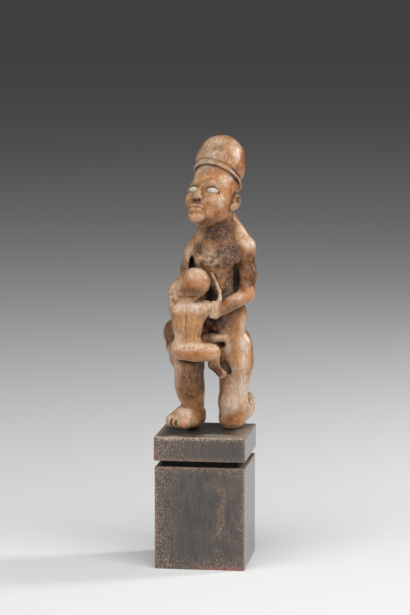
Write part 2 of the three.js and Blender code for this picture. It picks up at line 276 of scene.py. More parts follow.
def planted_foot():
    """A block with a steep front and a flat side, the toes cut along its lower edge."""
    heel = egg((-8.8, 8, 9), (8, 9, 9.6))
    middle = egg((-13, 1, 9.8), (8.6, 8, 7.6))
    inner_edge = limb((-10.4, -2.2, 15.6), (-11.8, -6.6, 6.5), 3.1, 3.6)
    outer_edge = limb((-14.6, -0.8, 15.2), (-23.6, -0.8, 7), 3.2, 3.6)
    toe_row = limb((-23.6, -1.6, 5.4), (-13.6, -6.6, 5.6), 3.8, 4)
    inner_side = limb((-9.2, -3.6, 6.4), (-7.2, 4, 8), 4.4, 6.4)
    block = union(2.2, heel, middle, inner_edge, outer_edge, toe_row, inner_side)
    big_toe = egg((-14, -7.8, 5), (4.8, 3.2, 3.5))
    gaps = union(
        0.2,
        limb((-19.7, -7.4, 9.5), (-19.9, -7.6, 1), 0.9, 1.1),
        limb((-22.9, -5.2, 9), (-23.1, -5.4, 1), 0.8, 0.9),
        limb((-26.2, -3.8, 8.5), (-26.5, -3.6, 1), 0.4, 0.5),
    )
    lifted = egg((-17, -9.5, -0.8), (9.5, 5, 2.4))
    return carve(union(1.2, block, big_toe), union(0.3, gaps, lifted), 0.6)


def fingers(start, reach, step):
    """Four rods side by side: the first knuckle, how far each reaches, and the step to the next."""
    rods = []
    for i in range(4):
        knuckle = [s + i * d for s, d in zip(start, step)]
        rods.append(limb(knuckle, [v + r for v, r in zip(knuckle, reach)], 1.9, 1.6))
    return rods


def left_arm():
    upper = chain(5, [(26.3, 12, 122), (27.8, 9.5, 108), (28.2, 5, 97)], [7, 5.8, 5.9])
    fore = limb((27.4, 3, 95), (14, -13.5, 87.4), 5.9, 4.7)
    palm = egg((10, -16.4, 87), (4, 3.8, 5.6))
    thumb = limb((11.4, -17.6, 90.6), (8, -19.2, 92.4), 1.5, 1.1)
    tips = fingers((9.2, -18, 90), (-3.4, 0, 0.2), (0.1, 0, -2.6))
    return union(2.5, upper, union(1, union(3, fore, palm), thumb, *tips))


def right_arm():
    upper = chain(5, [(-9.6, 11.5, 123), (-13, 7.5, 112.5), (-13.6, 3, 104.5)], [6.8, 4.4, 4.6])
    fore = limb((-14, 2, 104), (-16.4, -11, 102.5), 4.6, 4.8)
    back_of_hand = limb((-17.8, -14, 99.6), (-10.6, -12.5, 109), 5.2, 4.6)
    palm = egg((-17.2, -15.6, 97), (5.6, 4.8, 8))
    tips = fingers((-22.2, -14.5, 99), (1.2, -6.2, -0.2), (0.25, 0, -3.1))
    return union(2.5, upper, union(0.6, union(3, fore, back_of_hand, palm), *tips))


def head():
    """About its own centre, facing -Y: thirds from hairline to brow, brow to nose and nose to chin."""
    skull = union(7, egg((0, 0.5, 8), (15.4, 17.4, 24)), egg((0, -4.5, -11.5), (11.6, 12.6, 12.6)))
    cheeks = both(3, lambda side: egg((side * 8.2, -10, -7.8), (4.8, 4.6, 4.4)))
    brow = both(3, lambda side: chain(
        3, [(side * 2.6, -15.1, 3), (side * 6.4, -14.5, 3.9), (side * 10.4, -12.2, 2.4)], [1.3, 1.4, 1.2]
    ))
    nose = union(
        1.5,
        limb((0, -15.6, 1), (0, -19.4, -8.2), 1.7, 2.4),
        egg((0, -17.4, -9.3), (4, 3, 2.1)),
    )
    nostrils = both(0.2, lambda side: egg((side * 1.8, -18.2, -11.3), (0.9, 1.3, 0.9)))
    lips = union(0.4, egg((0, -15.9, -14.9), (5.6, 2.4, 1.6)), egg((0, -15.6, -17.5), (5, 2.5, 1.8)))
    parting = chain(0.5, [(-4.6, -16.6, -16), (0, -18.6, -16.3), (4.6, -16.6, -16)], [0.3, 0.45, 0.3])
    chin = egg((0, -12.4, -21.8), (6, 4.6, 4))
    jaw = both(3, lambda side: egg((side * 9.4, 1.5, -7), (5.4, 9, 10)))
    face = union(1.6, union(4, skull, cheeks, jaw), brow, nose, union(3, lips, chin))
    sockets = both(2, lambda side: egg((side * 7, -18.6, EYE_UP), (5.4, 3.8, 3.6)))
    lids = both(1, lambda side: egg((side * EYE_APART / 2, -EYE_OUT, EYE_UP), EYE_LID))
    pockets = both(0.1, lambda side: egg(
        (side * EYE_APART / 2, -EYE_OUT, EYE_UP), [r + EYE_CLEARANCE for r in EYE_RADII]
    ))
    face = union(0.6, carve(face, sockets, 1.6), lids, both(2, ear))
    return carve(carve(face, union(0.2, nostrils, parting), 0.5), pockets, 0.15)


def ear(side):
    """A rim round the back of a hollow, and the lobe below it."""
    shell = union(
        1.5,
        egg((side * 17, 5.4, -0.6), (3, 4, 5.6)),
        egg((side * 16.2, 3, -6.2), (2, 2.4, 2.8)),
    )
    hollow = union(
        0.5,
        egg((side * 19.4, 2.6, 0.4), (2.3, 2.8, 3.6)),
        egg((side * 17.6, 0.8, -0.8), (2.4, 1.9, 4)),
    )
    return carve(shell, hollow, 0.5)


def cap():
    """A tall dome worn back on the head, with a thin roll round its edge."""
    dome = union(8, egg((-0.8, 0.3, 29), (16.3, 17, 16.4)), egg((0, 0.5, 21), (15.8, 17, 8.5)))
    mean_radius = (RIM_HALF_WIDTH + RIM_HALF_DEPTH) / 2

    def above(y, z):
        return z - CAP_UP + CAP_TILT * y

    def roll(x, y, z):
        across = (x / RIM_HALF_WIDTH) ** 2 + ((y - RIM_BACK) / RIM_HALF_DEPTH) ** 2
        out = (np.sqrt(across) - 1) * mean_radius
        return np.sqrt(out**2 + above(y, z) ** 2) - RIM_RADIUS

    def cut(x, y, z):
        return np.maximum(dome(x, y, z), -above(y, z))

    return union(0.5, cut, roll)


# The child, astride the raised thigh with its back to the viewer


def child():
    trunk = union(
        4,
        limb((-17.8, -18.6, 88.6), (0.8, -18.6, 88.6), 4.2, 4.2),
        egg((-8.6, -18.6, 85.5), (13.4, 7.2, 9.5)),
        egg((-9.8, -19, 75), (10.2, 7.2, 13)),
        egg((-9.4, -20, 60), (12.4, 9, 8.4)),
    )
    blades = union(1, egg((-15.4, -24, 87.4), (4.2, 2.6, 4.6)), egg((-3, -24, 87.4), (4.6, 2.6, 4.6)))
    spine = chain(
        0.4,
        [(-10, -25.5, 92), (-10, -26.1, 86), (-10.2, -26.2, 76), (-10.3, -25.9, 68)],
        [0.8] * 4,
    )
    nape = chain(1, [(-16, -25.2, 96), (-9.5, -27.4, 96.2), (-3.5, -25.4, 96)], [0.7] * 3)
    skull = union(
        4,
        egg((-4.6, -18.5, 105.6), (10.3, 10.6, 10.3)),
        egg((-9.8, -18.3, 99.8), (9.6, 9.2, 7.4)),
    )
    neck = union(
        3,
        limb((-9.5, -18, 97), (-10, -18, 91), 7.4, 7.4),
        egg((-15.2, -17, 96.5), (6, 7.4, 7)),
    )
    under = egg((-5, -20, 46.4), (24, 12, 5))
    thigh = carve(limb((-4, -20.5, 57.6), (6.4, -19.5, 57.4), 7.1, 6.5), under, 0.6)
    ankle = limb((8, -17, 53.5), (7.4, -14, 48.6), 4.2, 3.6)
    foot = union(
        1,
        limb((7.4, -13.4, 48), (12.6, -10, 41), 3.5, 2.4),
        limb((9.6, -15.8, 48.4), (14.8, -12.4, 41.8), 1.5, 1.2),
    )
    toes = [
        limb((10.8 + 1.7 * i, -11.5, 41 + 0.5 * i), (11.8 + 1.6 * i, -11, 39 + 0.6 * i), 1.1, 0.9)
        for i in range(3)
    ]
    near_leg = union(1.5, thigh, ankle, foot, *toes)
    far_leg = chain(
        3,
        [(-14, -19, 58.5), (-21, -8, 60), (-20.6, 0, 49.5), (-18, -5, 43.5)],
        [6.8, 5, 4, 3],
    )
    near_arm = chain(
        1.2,
        [
            (2, -18.6, 89.4),
            (9, -16.4, 89.4),
            (12, -14, 93.6),
            (11.2, -12, 99),
            (8.6, -9.4, 104),
            (5.2, -4.6, 109.8),
        ],
        [4, 2.6, 1.4, 1.1, 1.1, 1.7],
    )
    far_arm = chain(1.5, [(-17, -18, 90.8), (-17, -9, 97), (-10, -3, 105)], [4, 3.4, 2.8])
    body = union(1.2, union(1.5, trunk, blades), union(3, skull, neck))
    body = carve(carve(body, nape, 2), spine, 0.5)
    return union(1.2, body, near_leg, far_leg, near_arm, far_arm)


def deep_cuts():
    """Between each arm and the trunk, and on the thigh above the child's foot."""
    return union(
        0.5,
        egg((20.8, -0.5, 106), (2.6, 7.4, 10.6)),
        egg((-10, 0.4, 115.6), (1.9, 6.6, 6.4)),
        limb((11.6, -1.6, 50), (16, 0, 42), 2.6, 2.4),
        egg((10.6, -2.6, 60.6), (3.4, 4, 2.9)),
        limb((12, -4.5, 58.5), (11.4, -5, 51.5), 1.2, 0.9),
    )


def figure_field(x, y, z):
    """The whole figure, cut level at the soles just below zero, where no point of the grid lies."""
    adult = union(
        2,
        within((-20, -10, 38), (40, 38, 160), torso()),
        within((2, -8, -1), (38, 38, 78), kneeling_leg()),
        within((-33, -24, -1), (22, 32, 84), raised_leg()),
        within((0, -30, 72), (40, 26, 136), left_arm()),
        within((-30, -30, 80), (4, 26, 138), right_arm()),
    )
    capped_head = in_head(union(0.5, head(), cap()))
    adult = union(4, adult, within((-22, -30, 128), (38, 38, 208), capped_head))
    whole = union(0.8, carve(adult, deep_cuts(), 1.2), within((-30, -34, 30), (24, 12, 122), child()))
    field = whole(x, y, z)
    field += sum(depth * unevenness(x, y, z, size, seed) for depth, size, seed in KNIFE_MARKS)
    return np.maximum(field, SOLE - z)


# From a field to a mesh


def sample(grid, places):
    """The grid's values at places given in grid steps, in straight lines between its points."""
    top = np.array(grid.shape) - 2
    cell = np.clip(np.floor(places).astype(int), 0, top)
    t = np.clip(places - cell, 0, 1).astype(np.float32)
    total = 0
    for corner in np.ndindex(2, 2, 2):
        weight = np.prod(np.where(corner, t, 1 - t), axis=1)
        total = total + weight * grid[tuple((cell + corner).T)]
    return total


def surface(grid):
    """One point in each cell that the surface crosses, and a face across each edge that it crosses."""
    inside = grid < 0
    shape = np.array(grid.shape)
    count = sum(
        inside[tuple(slice(c, n - 1 + c) for c, n in zip(corner, shape))].astype(np.int8)
        for corner in np.ndindex(2, 2, 2)
    )
    cells = np.argwhere((count > 0) & (count < 8))
    number = np.full(shape - 1, -1, np.int64)
    number[tuple(cells.T)] = np.arange(len(cells))
    total = np.zeros((len(cells), 3))
    hits = np.zeros((len(cells), 1))
    for axis in range(3):
        for a, b in np.ndindex(2, 2):
            start = np.insert([a, b], axis, 0)
            end = np.insert([a, b], axis, 1)
            low = grid[tuple((cells + start).T)]
            high = grid[tuple((cells + end).T)]
            crossed = ((low < 0) != (high < 0))[:, None]
            t = (low / np.where(low == high, 1, low - high))[:, None]
            total += np.where(crossed, start + (end - start) * t, 0)
            hits += crossed
    points = cells + total / hits
    faces = []
    for axis in range(3):
        low_end = [slice(1, n - 1) for n in shape]
        high_end = list(low_end)
        low_end[axis] = slice(0, shape[axis] - 1)
        high_end[axis] = slice(1, shape[axis])
        low = inside[tuple(low_end)]
        high = inside[tuple(high_end)]
        for starts, turn in ((low & ~high, 1), (~low & high, -1)):
            edge = np.argwhere(starts) + np.insert([1, 1], axis, 0)
            u = np.eye(3, dtype=int)[(axis + 1) % 3]
            v = np.eye(3, dtype=int)[(axis + 2) % 3]
            ring = [number[tuple((edge - a * u - b * v).T)] for a, b in ((1, 1), (0, 1), (0, 0), (1, 0))]
            faces.append(np.stack(ring[::turn], axis=1))
    return points, np.concatenate(faces)


def mesh_object(name, points, faces, smooth=True):
    """A mesh of points in metres, put in the scene."""
    mesh = bpy.data.meshes.new(name)
    mesh.from_pydata([tuple(point) for point in points], [], [tuple(face) for face in faces])
    mesh.polygons.foreach_set("use_smooth", [smooth] * len(mesh.polygons))
    piece = bpy.data.objects.new(name, mesh)
    bpy.context.collection.objects.link(piece)
    return piece


def paint(piece, name, values):
    """A number at each point of the mesh, for the piece's material."""
    layer = piece.data.attributes.new(name, "FLOAT", "POINT")
    layer.data.foreach_set("value", np.asarray(values, np.float32).ravel())


def soft_step(low, high, values):
    """From 0 below low to 1 above high, smoothly."""
    t = np.clip((values - low) / (high - low), 0, 1)
    return t * t * (3 - 2 * t)


def carved_figure():
    """The figure's mesh, with the measures and masks that its finish reads."""
    margin = 2 * CELL
    axes = [np.arange(low - margin, high + margin, CELL) for low, high in zip(FIGURE_LOW, FIGURE_HIGH)]
    x, y, z = np.ix_(*[at.astype(np.float32) for at in axes])
    grid = figure_field(x, y, z)
    points, faces = surface(grid)
    origin = np.array([at[0] for at in axes])

    def field_at(places):
        return sample(grid, (places - origin) / CELL)

    places = origin + points * CELL
    steps = np.eye(3) * SLOPE_REACH
    slope = np.stack([field_at(places + step) - field_at(places - step) for step in steps], axis=1)
    normal = slope / np.maximum(np.linalg.norm(slope, axis=1, keepdims=True), 1e-6)
    rays = np.array([d for d in np.ndindex(3, 3, 3) if d != (1, 1, 1)]) - 1.0
    rays /= np.linalg.norm(rays, axis=1, keepdims=True)

    def openness(distances):
        """How much of what lies above each point is free of wood, from 0 to 1."""
        seen = np.zeros(len(places))
        weights = np.zeros(len(places))
        for ray in rays:
            facing = np.clip(normal @ ray, 0, 1)
            free = np.ones(len(places))
            for distance in distances:
                away = field_at(places + ray * distance)
                free = np.minimum(free, np.clip(away / (0.5 * distance), 0, 1))
            seen += facing * free
            weights += facing
        return seen / weights

    def crest(distance):
        """Above zero on a crest and below it in a crease."""
        total = np.zeros(len(places))
        for ray in rays:
            along = ray - (normal @ ray)[:, None] * normal
            total += field_at(places + along * distance)
        return total / (len(rays) * distance)

    piece = mesh_object("carved_figure", (places + (0, 0, PLINTH_HEIGHT + REST_GAP)) * MM, faces)
    paint(piece, "open_near", openness(NEAR_REACHES))
    paint(piece, "open_far", openness(FAR_REACHES))
    paint(piece, "crest_fine", crest(FINE_CREST))
    paint(piece, "crest_broad", crest(BROAD_CREST))
    for name, patches in PATCHES.items():
        mask = 0
        for centre, radii, edge in patches:
            away = egg(centre, radii)(*places.T)
            mask = np.maximum(mask, 1 - soft_step(-edge, edge, away))
        paint(piece, name, mask)
    return piece


# Where the wood's colour differs, and where highlights, sheen and shade are painted: eggs in the figure's
# millimetres, as centre, radii and softness
PATCHES = {
    # Paler where the wood is worn; some of these patches are painted highlights: the shoulder, the
    # forearm's top, the band down the kneeling thigh, and the tops of the child's head and thigh
    "worn": [
        ((28, 8, 131), (6, 8, 3.5), 3),
        ((25, 5, 139), (4, 6, 5), 3),
        ((-15, 6, 122), (6, 9, 7), 3),
        ((-6, 0, 137), (6, 8, 4), 3),
        ((-7, -24, 89.5), (13, 6, 4), 2.5),
        ((-2, -25, 114), (6, 6, 4), 3),
        ((-2, -26, 62), (18, 5, 2.6), 2),
        ((24, -8, 95.5), (8, 8, 2), 1.5),
        ((7, -19, 88), (5, 4, 6), 2),
        ((-15, -7, 12), (6, 5, 5), 3),
        ((-24, -7, 6), (6, 7, 5), 2),
        ((27.5, 2, 60), (3.6, 7, 20), 2.5),
        ((15, -4, 57), (4, 5, 8), 2),
        ((27, 3, 27), (4, 8, 12), 3),
        ((12, 0, 16), (3, 5, 9), 2),
        ((-18, -13, 44), (4, 6, 12), 2),
        ((19, -1, 23), (5, 6, 10), 4),
        ((3, -3, 120), (7, 6, 4), 3),
        ((27, 24, 12), (6, 8, 8), 3),
        ((20, 9, 197), (4, 8, 8), 3),
        ((-7, -1, 187), (5, 9, 13), 4),
        ((1, 2, 203), (14, 13, 6), 4),
        ((14, -4, 175), (4, 5, 4), 3),
        ((10, -13, 97), (4, 5, 10), 1.5),
        ((-20, -20, 99), (6, 7, 9), 2),
        ((-15, -21, 105), (5, 5, 5), 2),
        ((-17, -24, 66), (4, 6, 6), 2),
        ((12, -6, 68), (4, 5, 3), 1.5),
    ],
    "ruddy": [
        ((25, 12, 184), (5, 9, 13), 4),
        ((8, -6, 180), (6, 5, 5), 3),
        ((19, 1, 168), (5, 6, 8), 3),
        ((13, -8, 154), (7, 8, 6), 4),
        ((31, 5, 110), (6, 11, 17), 3),
        ((29, -2, 95), (6, 8, 6), 3),
        ((-5, -28, 57), (15, 5, 5), 3),
        ((33, 7, 46), (2.5, 10, 14), 3),
        ((25, 3, 78), (6, 8, 12), 4),
        ((17, 0, 7), (8, 5, 6), 3),
        ((-6, -28, 104), (8, 4, 8), 4),
        ((0, -26, 110), (12, 8, 8), 4),
        ((22, -12, 90), (12, 8, 5), 3),
    ],
    # Darker brown wood, and painted shade under the forearm, beside the child's foot and between the
    # child's back and the raised knee
    "brown_and_shade": [
        ((-7, -13, 36), (11.5, 10, 15), 4),
        ((11, -2, 42), (3, 6, 8), 2),
        ((14, -2, 88), (12, 7, 12), 4),
        ((10, 1, 141), (12, 9, 11), 4),
        ((1, -14, 147), (8, 6, 4), 2),
        ((-2, 0, 8), (2.5, 8, 5), 2),
        ((17, -13, 87), (12, 8, 5), 2.5),
        ((-16, 6, 111), (6, 8, 10), 3),
        ((9, -14.5, 43.5), (5, 6, 6), 1.5),
        ((12, -3, 46), (4, 5, 5), 1.5),
        ((31, 4, 113), (5, 11, 13), 4),
        ((26, 2, 106), (4, 8, 16), 3),
        ((9, -1, 197), (5, 7, 2.5), 2),
        ((20, 0, 122), (9, 8, 10), 4),
        ((-25, -8, 68), (4, 8, 10), 2),
    ],
    # Dark crust, and painted shade under the forearm at the waist and between the child's back and the
    # raised knee
    "residue_and_shade": [
        ((14, 0, 127), (8, 9, 10), 3),
        ((-4, -2, 127), (6, 8, 6), 3),
        ((9, -2, 118), (14, 8, 5), 2.5),
        ((11, 0, 95), (13, 8, 8), 4),
        ((7, 2, 135), (10, 8, 5), 3),
        ((-9, 0, 115), (5, 8, 7), 3),
        ((13, 0, 107), (7, 8, 6), 4),
        ((5, -4, 75), (12, 6, 8), 4),
        ((-24, -8, 69), (4, 8, 9), 2),
        ((-9, -23, 101), (4, 4, 2.5), 2.5),
        ((10, 0, 139), (9, 9, 6), 4),
    ],
    "greyed": [
        ((-1, -2, 194), (13, 13, 13), 4),
        ((12, -12, 160), (2.5, 5, 2.5), 4),
        ((21, 0, 32), (5, 6, 13), 4),
        ((6, -2, 124), (7, 6, 5), 3),
    ],
    # Painted shade: near black in the slits beside the arms, behind the child's arm and under the forearm
    # at the waist
    "hollow": [
        ((20.8, 4, 106), (2.3, 12, 9.2), 0.8),
        ((-10, 2, 116), (2, 9, 6), 0.8),
        ((3, -3, 96), (4, 5, 6), 2),
        ((7, -4, 79), (5, 5, 3.5), 2.5),
    ],
    # Darker patches of wood, and painted shade on the shin's right side, behind the ear's rim, under the
    # child's thigh and beside its foot
    "dark_patch_and_shade": [
        ((-2, -14, 45), (6, 8, 12), 3),
        ((0, -10, 32), (4, 8, 8), 3),
        ((9, 0, 140), (7, 9, 7), 3),
        ((32, 4, 112), (4, 10, 10), 4),
        ((-6, -27, 100.5), (7, 5, 3), 4),
        ((8.5, -14.5, 44), (4.4, 6, 5.5), 1.5),
        ((9, -13, 43), (4, 6, 4), 1),
        ((7, -5, 60), (4, 5, 2.5), 1.5),
        ((12, -1, 45), (3, 5, 4), 1.5),
        ((24, 3, 159), (2.8, 5, 7), 1.5),
        ((18, 0, 123), (8, 8, 7), 4),
        ((15, 0, 88), (9, 8, 6), 3),
    ],
    # Painted highlights and sheen: down the kneeling leg, on the shoulder, cheek, brow and foot, and on
    # the child's head and back
    "painted_sheen": [
        ((26, 0, 60), (2.4, 6, 20), 2.5),
        ((25.4, -1, 32), (2, 5, 10), 2.5),
        ((14.5, -2, 14), (2.4, 5, 5), 2.5),
        ((30, 6, 130), (3, 5, 4), 3),
        ((12.6, -12, 159), (2, 3, 3.4), 2),
        ((-3, -22, 114.5), (7, 3.5, 1.6), 2),
        ((20, -1, 20), (3, 5, 6), 3),
        ((-6, -26, 90), (9, 5, 2), 3),
        ((20, -3, 178), (3, 5, 4), 3),
        ((-14, -9, 13), (3, 4, 4), 3),
    ],
    "polished": [
        ((0, -25, 111), (7, 6, 6), 3),
        ((12, -10, 166), (9, 10, 12), 4),
        ((30, 6, 128), (7, 10, 9), 3),
        ((-2, -26, 58), (19, 7, 7), 3),
        ((-10, -26, 78), (12, 5, 12), 3),
        ((25, 2, 60), (7, 8, 20), 4),
        ((30, -2, 95), (7, 8, 7), 3),
        ((21, -1, 24), (6, 6, 14), 4),
        ((-14, -8, 13), (8, 8, 8), 3),
    ],
    "bare": [
        ((-13.6, -11.5, 5), (4, 2.6, 2.6), 1),
        ((-24, -18, 95), (1.6, 4, 2.4), 2.5),
    ],
}


def eye_inlay(side, name):
    """A flat egg, finely faceted, in its pocket."""
    rings, turns = 16, 32
    points = [(0, 0, 1)]
    for i in range(1, rings):
        low = math.pi * i / rings
        for j in range(turns):
            around = math.tau * j / turns
            out = math.sin(low)
            points.append((out * math.cos(around), out * math.sin(around), math.cos(low)))
    points.append((0, 0, -1))
    faces = [(0, 1 + j, 1 + (j + 1) % turns) for j in range(turns)]
    for i in range(rings - 2):
        a = 1 + i * turns
        for j in range(turns):
            k = (j + 1) % turns
            faces.append((a + j, a + turns + j, a + turns + k, a + k))
    last = len(points) - 1
    faces += [(last, last - turns + (j + 1) % turns, last - turns + j) for j in range(turns)]
    place = head_matrix()
    centre = Vector((side * EYE_APART / 2, -EYE_OUT, EYE_UP))
    lift = Vector((0, 0, PLINTH_HEIGHT + REST_GAP))
    eggs = [Vector([v * r for v, r in zip(point, EYE_RADII)]) for point in points]
    world = [(place @ (point + centre) + lift) * MM for point in eggs]
    return mesh_object(name, world, faces)


# The plinth: square rings, one above the other, with worn corners


def square_ring(half, corner, z):
    """A square with rounded corners. Half is half its side."""
    straight = 26
    turn = 6
    ring = []
    for quarter in range(4):
        angle = quarter * math.pi / 2
        c, s = math.cos(angle), math.sin(angle)
        flat = half - corner
        run = [(half, -flat + 2 * flat * i / straight) for i in range(straight)]
        bend = [
            (flat + corner * math.cos(a), flat + corner * math.sin(a))
            for a in (math.pi / 2 * i / turn for i in range(turn))
        ]
        ring += [(u * c - v * s, u * s + v * c, z) for u, v in run + bend]
    return ring


def plinth_profile():
    """Half widths and heights from the middle of the underside to the middle of the top."""
    half = PLINTH_SIDE / 2
    lid = SLAB_SIDE / 2
    inner = half - GROOVE_DEPTH
    under = PLINTH_HEIGHT - SLAB
    sill = under - GROOVE
    bend = [math.pi / 2 * i / 4 for i in range(5)]
    profile = [(half * t, 0) for t in (0.15, 0.4, 0.7)]

    def lower_edge(h, z, wear):
        profile.extend((h - wear * (1 - math.sin(a)), z + wear * (1 - math.cos(a))) for a in bend)

    def upper_edge(h, z, wear):
        profile.extend((h - wear * (1 - math.cos(a)), z - wear * (1 - math.sin(a))) for a in bend)

    def rise(h, low, high, steps):
        profile.extend((h, low + (high - low) * i / steps) for i in range(1, steps))

    lower_edge(half, 0, FOOT_WEAR)
    rise(half, FOOT_WEAR, sill - EDGE_WEAR, 22)
    upper_edge(half, sill, EDGE_WEAR)
    profile.append((inner, sill))
    rise(inner, sill, under, 4)
    profile.append((inner, under))
    lower_edge(lid, under, EDGE_WEAR)
    rise(lid, under + EDGE_WEAR, PLINTH_HEIGHT - EDGE_WEAR, 10)
    upper_edge(lid, PLINTH_HEIGHT, EDGE_WEAR)
    profile.extend((lid * t, PLINTH_HEIGHT) for t in (0.9, 0.75, 0.6, 0.45, 0.3, 0.15))
    return profile


def stained_plinth():
    """The plinth's mesh, with how near each point lies to an edge and what lies in the groove."""
    profile = plinth_profile()
    points = []
    for half, z in profile:
        points += square_ring(half, min(PLINTH_CORNER, half * 0.5), z)
    turns = len(points) // len(profile)
    faces = []
    for start in range(0, len(points) - turns, turns):
        for j in range(turns):
            k = (j + 1) % turns
            faces.append((start + j, start + k, start + turns + k, start + turns + j))
    faces.append(tuple(range(turns))[::-1])
    faces.append(tuple(range(len(points) - turns, len(points))))
    places = np.array(points, float)
    under = PLINTH_HEIGHT - SLAB
    half = np.where(places[:, 2:] < under - 0.01, PLINTH_SIDE / 2, SLAB_SIDE / 2)
    sides = half - np.abs(places[:, :2])
    near_side = sides.min(axis=1)
    near_corner = sides.max(axis=1)
    levels = np.array([0, under - GROOVE, under, PLINTH_HEIGHT])
    near_level = np.abs(places[:, 2:] - levels).min(axis=1)
    outer = near_side < PLINTH_SKIN
    edge = np.where(outer, np.minimum(near_corner, near_level), np.maximum(near_side, GROOVE_SKIN))
    height = places[:, 2]
    inside = (near_side > GROOVE_SKIN) & (height > under - GROOVE - 0.5) & (height < under + 0.5)
    piece = mesh_object("stained_plinth", places * MM, faces)
    paint(piece, "edge", np.exp(-np.clip(edge, 0, 20) / EDGE_FADE))
    paint(piece, "groove", inside)
    paint(piece, "edge_broad", np.exp(-np.clip(edge, 0, 40) / BROAD_FADE))
    return piece


# Finishes


# Colours, as the share of red, green and blue light that each gives back
PALE_WOOD = (0.56, 0.29, 0.125)
DARK_WOOD = (0.24, 0.1, 0.036)
PALE_RUDDY = (0.52, 0.19, 0.052)
DARK_RUDDY = (0.2, 0.06, 0.016)
PALE_BROWN = (0.31, 0.13, 0.047)
DARK_BROWN = (0.07, 0.026, 0.011)
WORN_AND_HIGHLIT_WOOD = (0.64, 0.452, 0.315)
GREYED_WOOD = (0.44, 0.345, 0.255)
BARE_WOOD = (0.62, 0.25, 0.16)
SHEEN_PAINT = (0.64, 0.53, 0.47)
DARK_CRUST = (0.02, 0.011, 0.009)
PALE_CRUST = (0.1, 0.058, 0.047)
DARK_PATCH_AND_SHADE = (0.055, 0.023, 0.012)
GRIT = (0.44, 0.28, 0.18)
SOOT_AND_SHADE = (0.055, 0.026, 0.014)
PIT = (0.08, 0.033, 0.016)
CAP_LINE = (0.085, 0.038, 0.02)
CREASE_SHADE = (0.04, 0.018, 0.009)
SHADOW_BLACK = (0.012, 0.008, 0.007)
DARK_STAIN = (0.038, 0.031, 0.026)
PALE_STAIN = (0.064, 0.047, 0.038)
WARM_STAIN = (0.09, 0.055, 0.039)
DARKER_TOP = (0.034, 0.035, 0.028)
DARK_FIBRE = (0.02, 0.016, 0.014)
STREAK = (0.28, 0.155, 0.085)
FLECK = (0.47, 0.34, 0.235)
PALE_TOP_BAND = (0.36, 0.32, 0.26)
RUBBED_TAN = (0.33, 0.2, 0.125)
RUBBED_RED = (0.45, 0.125, 0.09)
RED_BAND = (0.42, 0.12, 0.085)
PALE_RIM = (0.58, 0.48, 0.36)
GROOVE_SHADE = (0.003, 0.003, 0.003)
PALE_GLAZE = (0.6, 0.52, 0.42)
DULL_GLAZE = (0.45, 0.36, 0.27)
CRACKLE = (0.2, 0.13, 0.08)
FLOOR_GREY = (0.82, 0.82, 0.82, 1)


class Wire:
    """A socket of a finish's node tree, so that a sum is written as it is on paper."""

    def __init__(self, finish, socket):
        self.finish = finish
        self.socket = socket

    def __add__(self, other):
        return self.finish.maths("ADD", self, other)

    def __sub__(self, other):
        return self.finish.maths("SUBTRACT", self, other)

    def __rsub__(self, other):
        return self.finish.maths("SUBTRACT", other, self)

    def __mul__(self, other):
        return self.finish.maths("MULTIPLY", self, other)

    __radd__ = __add__
    __rmul__ = __mul__


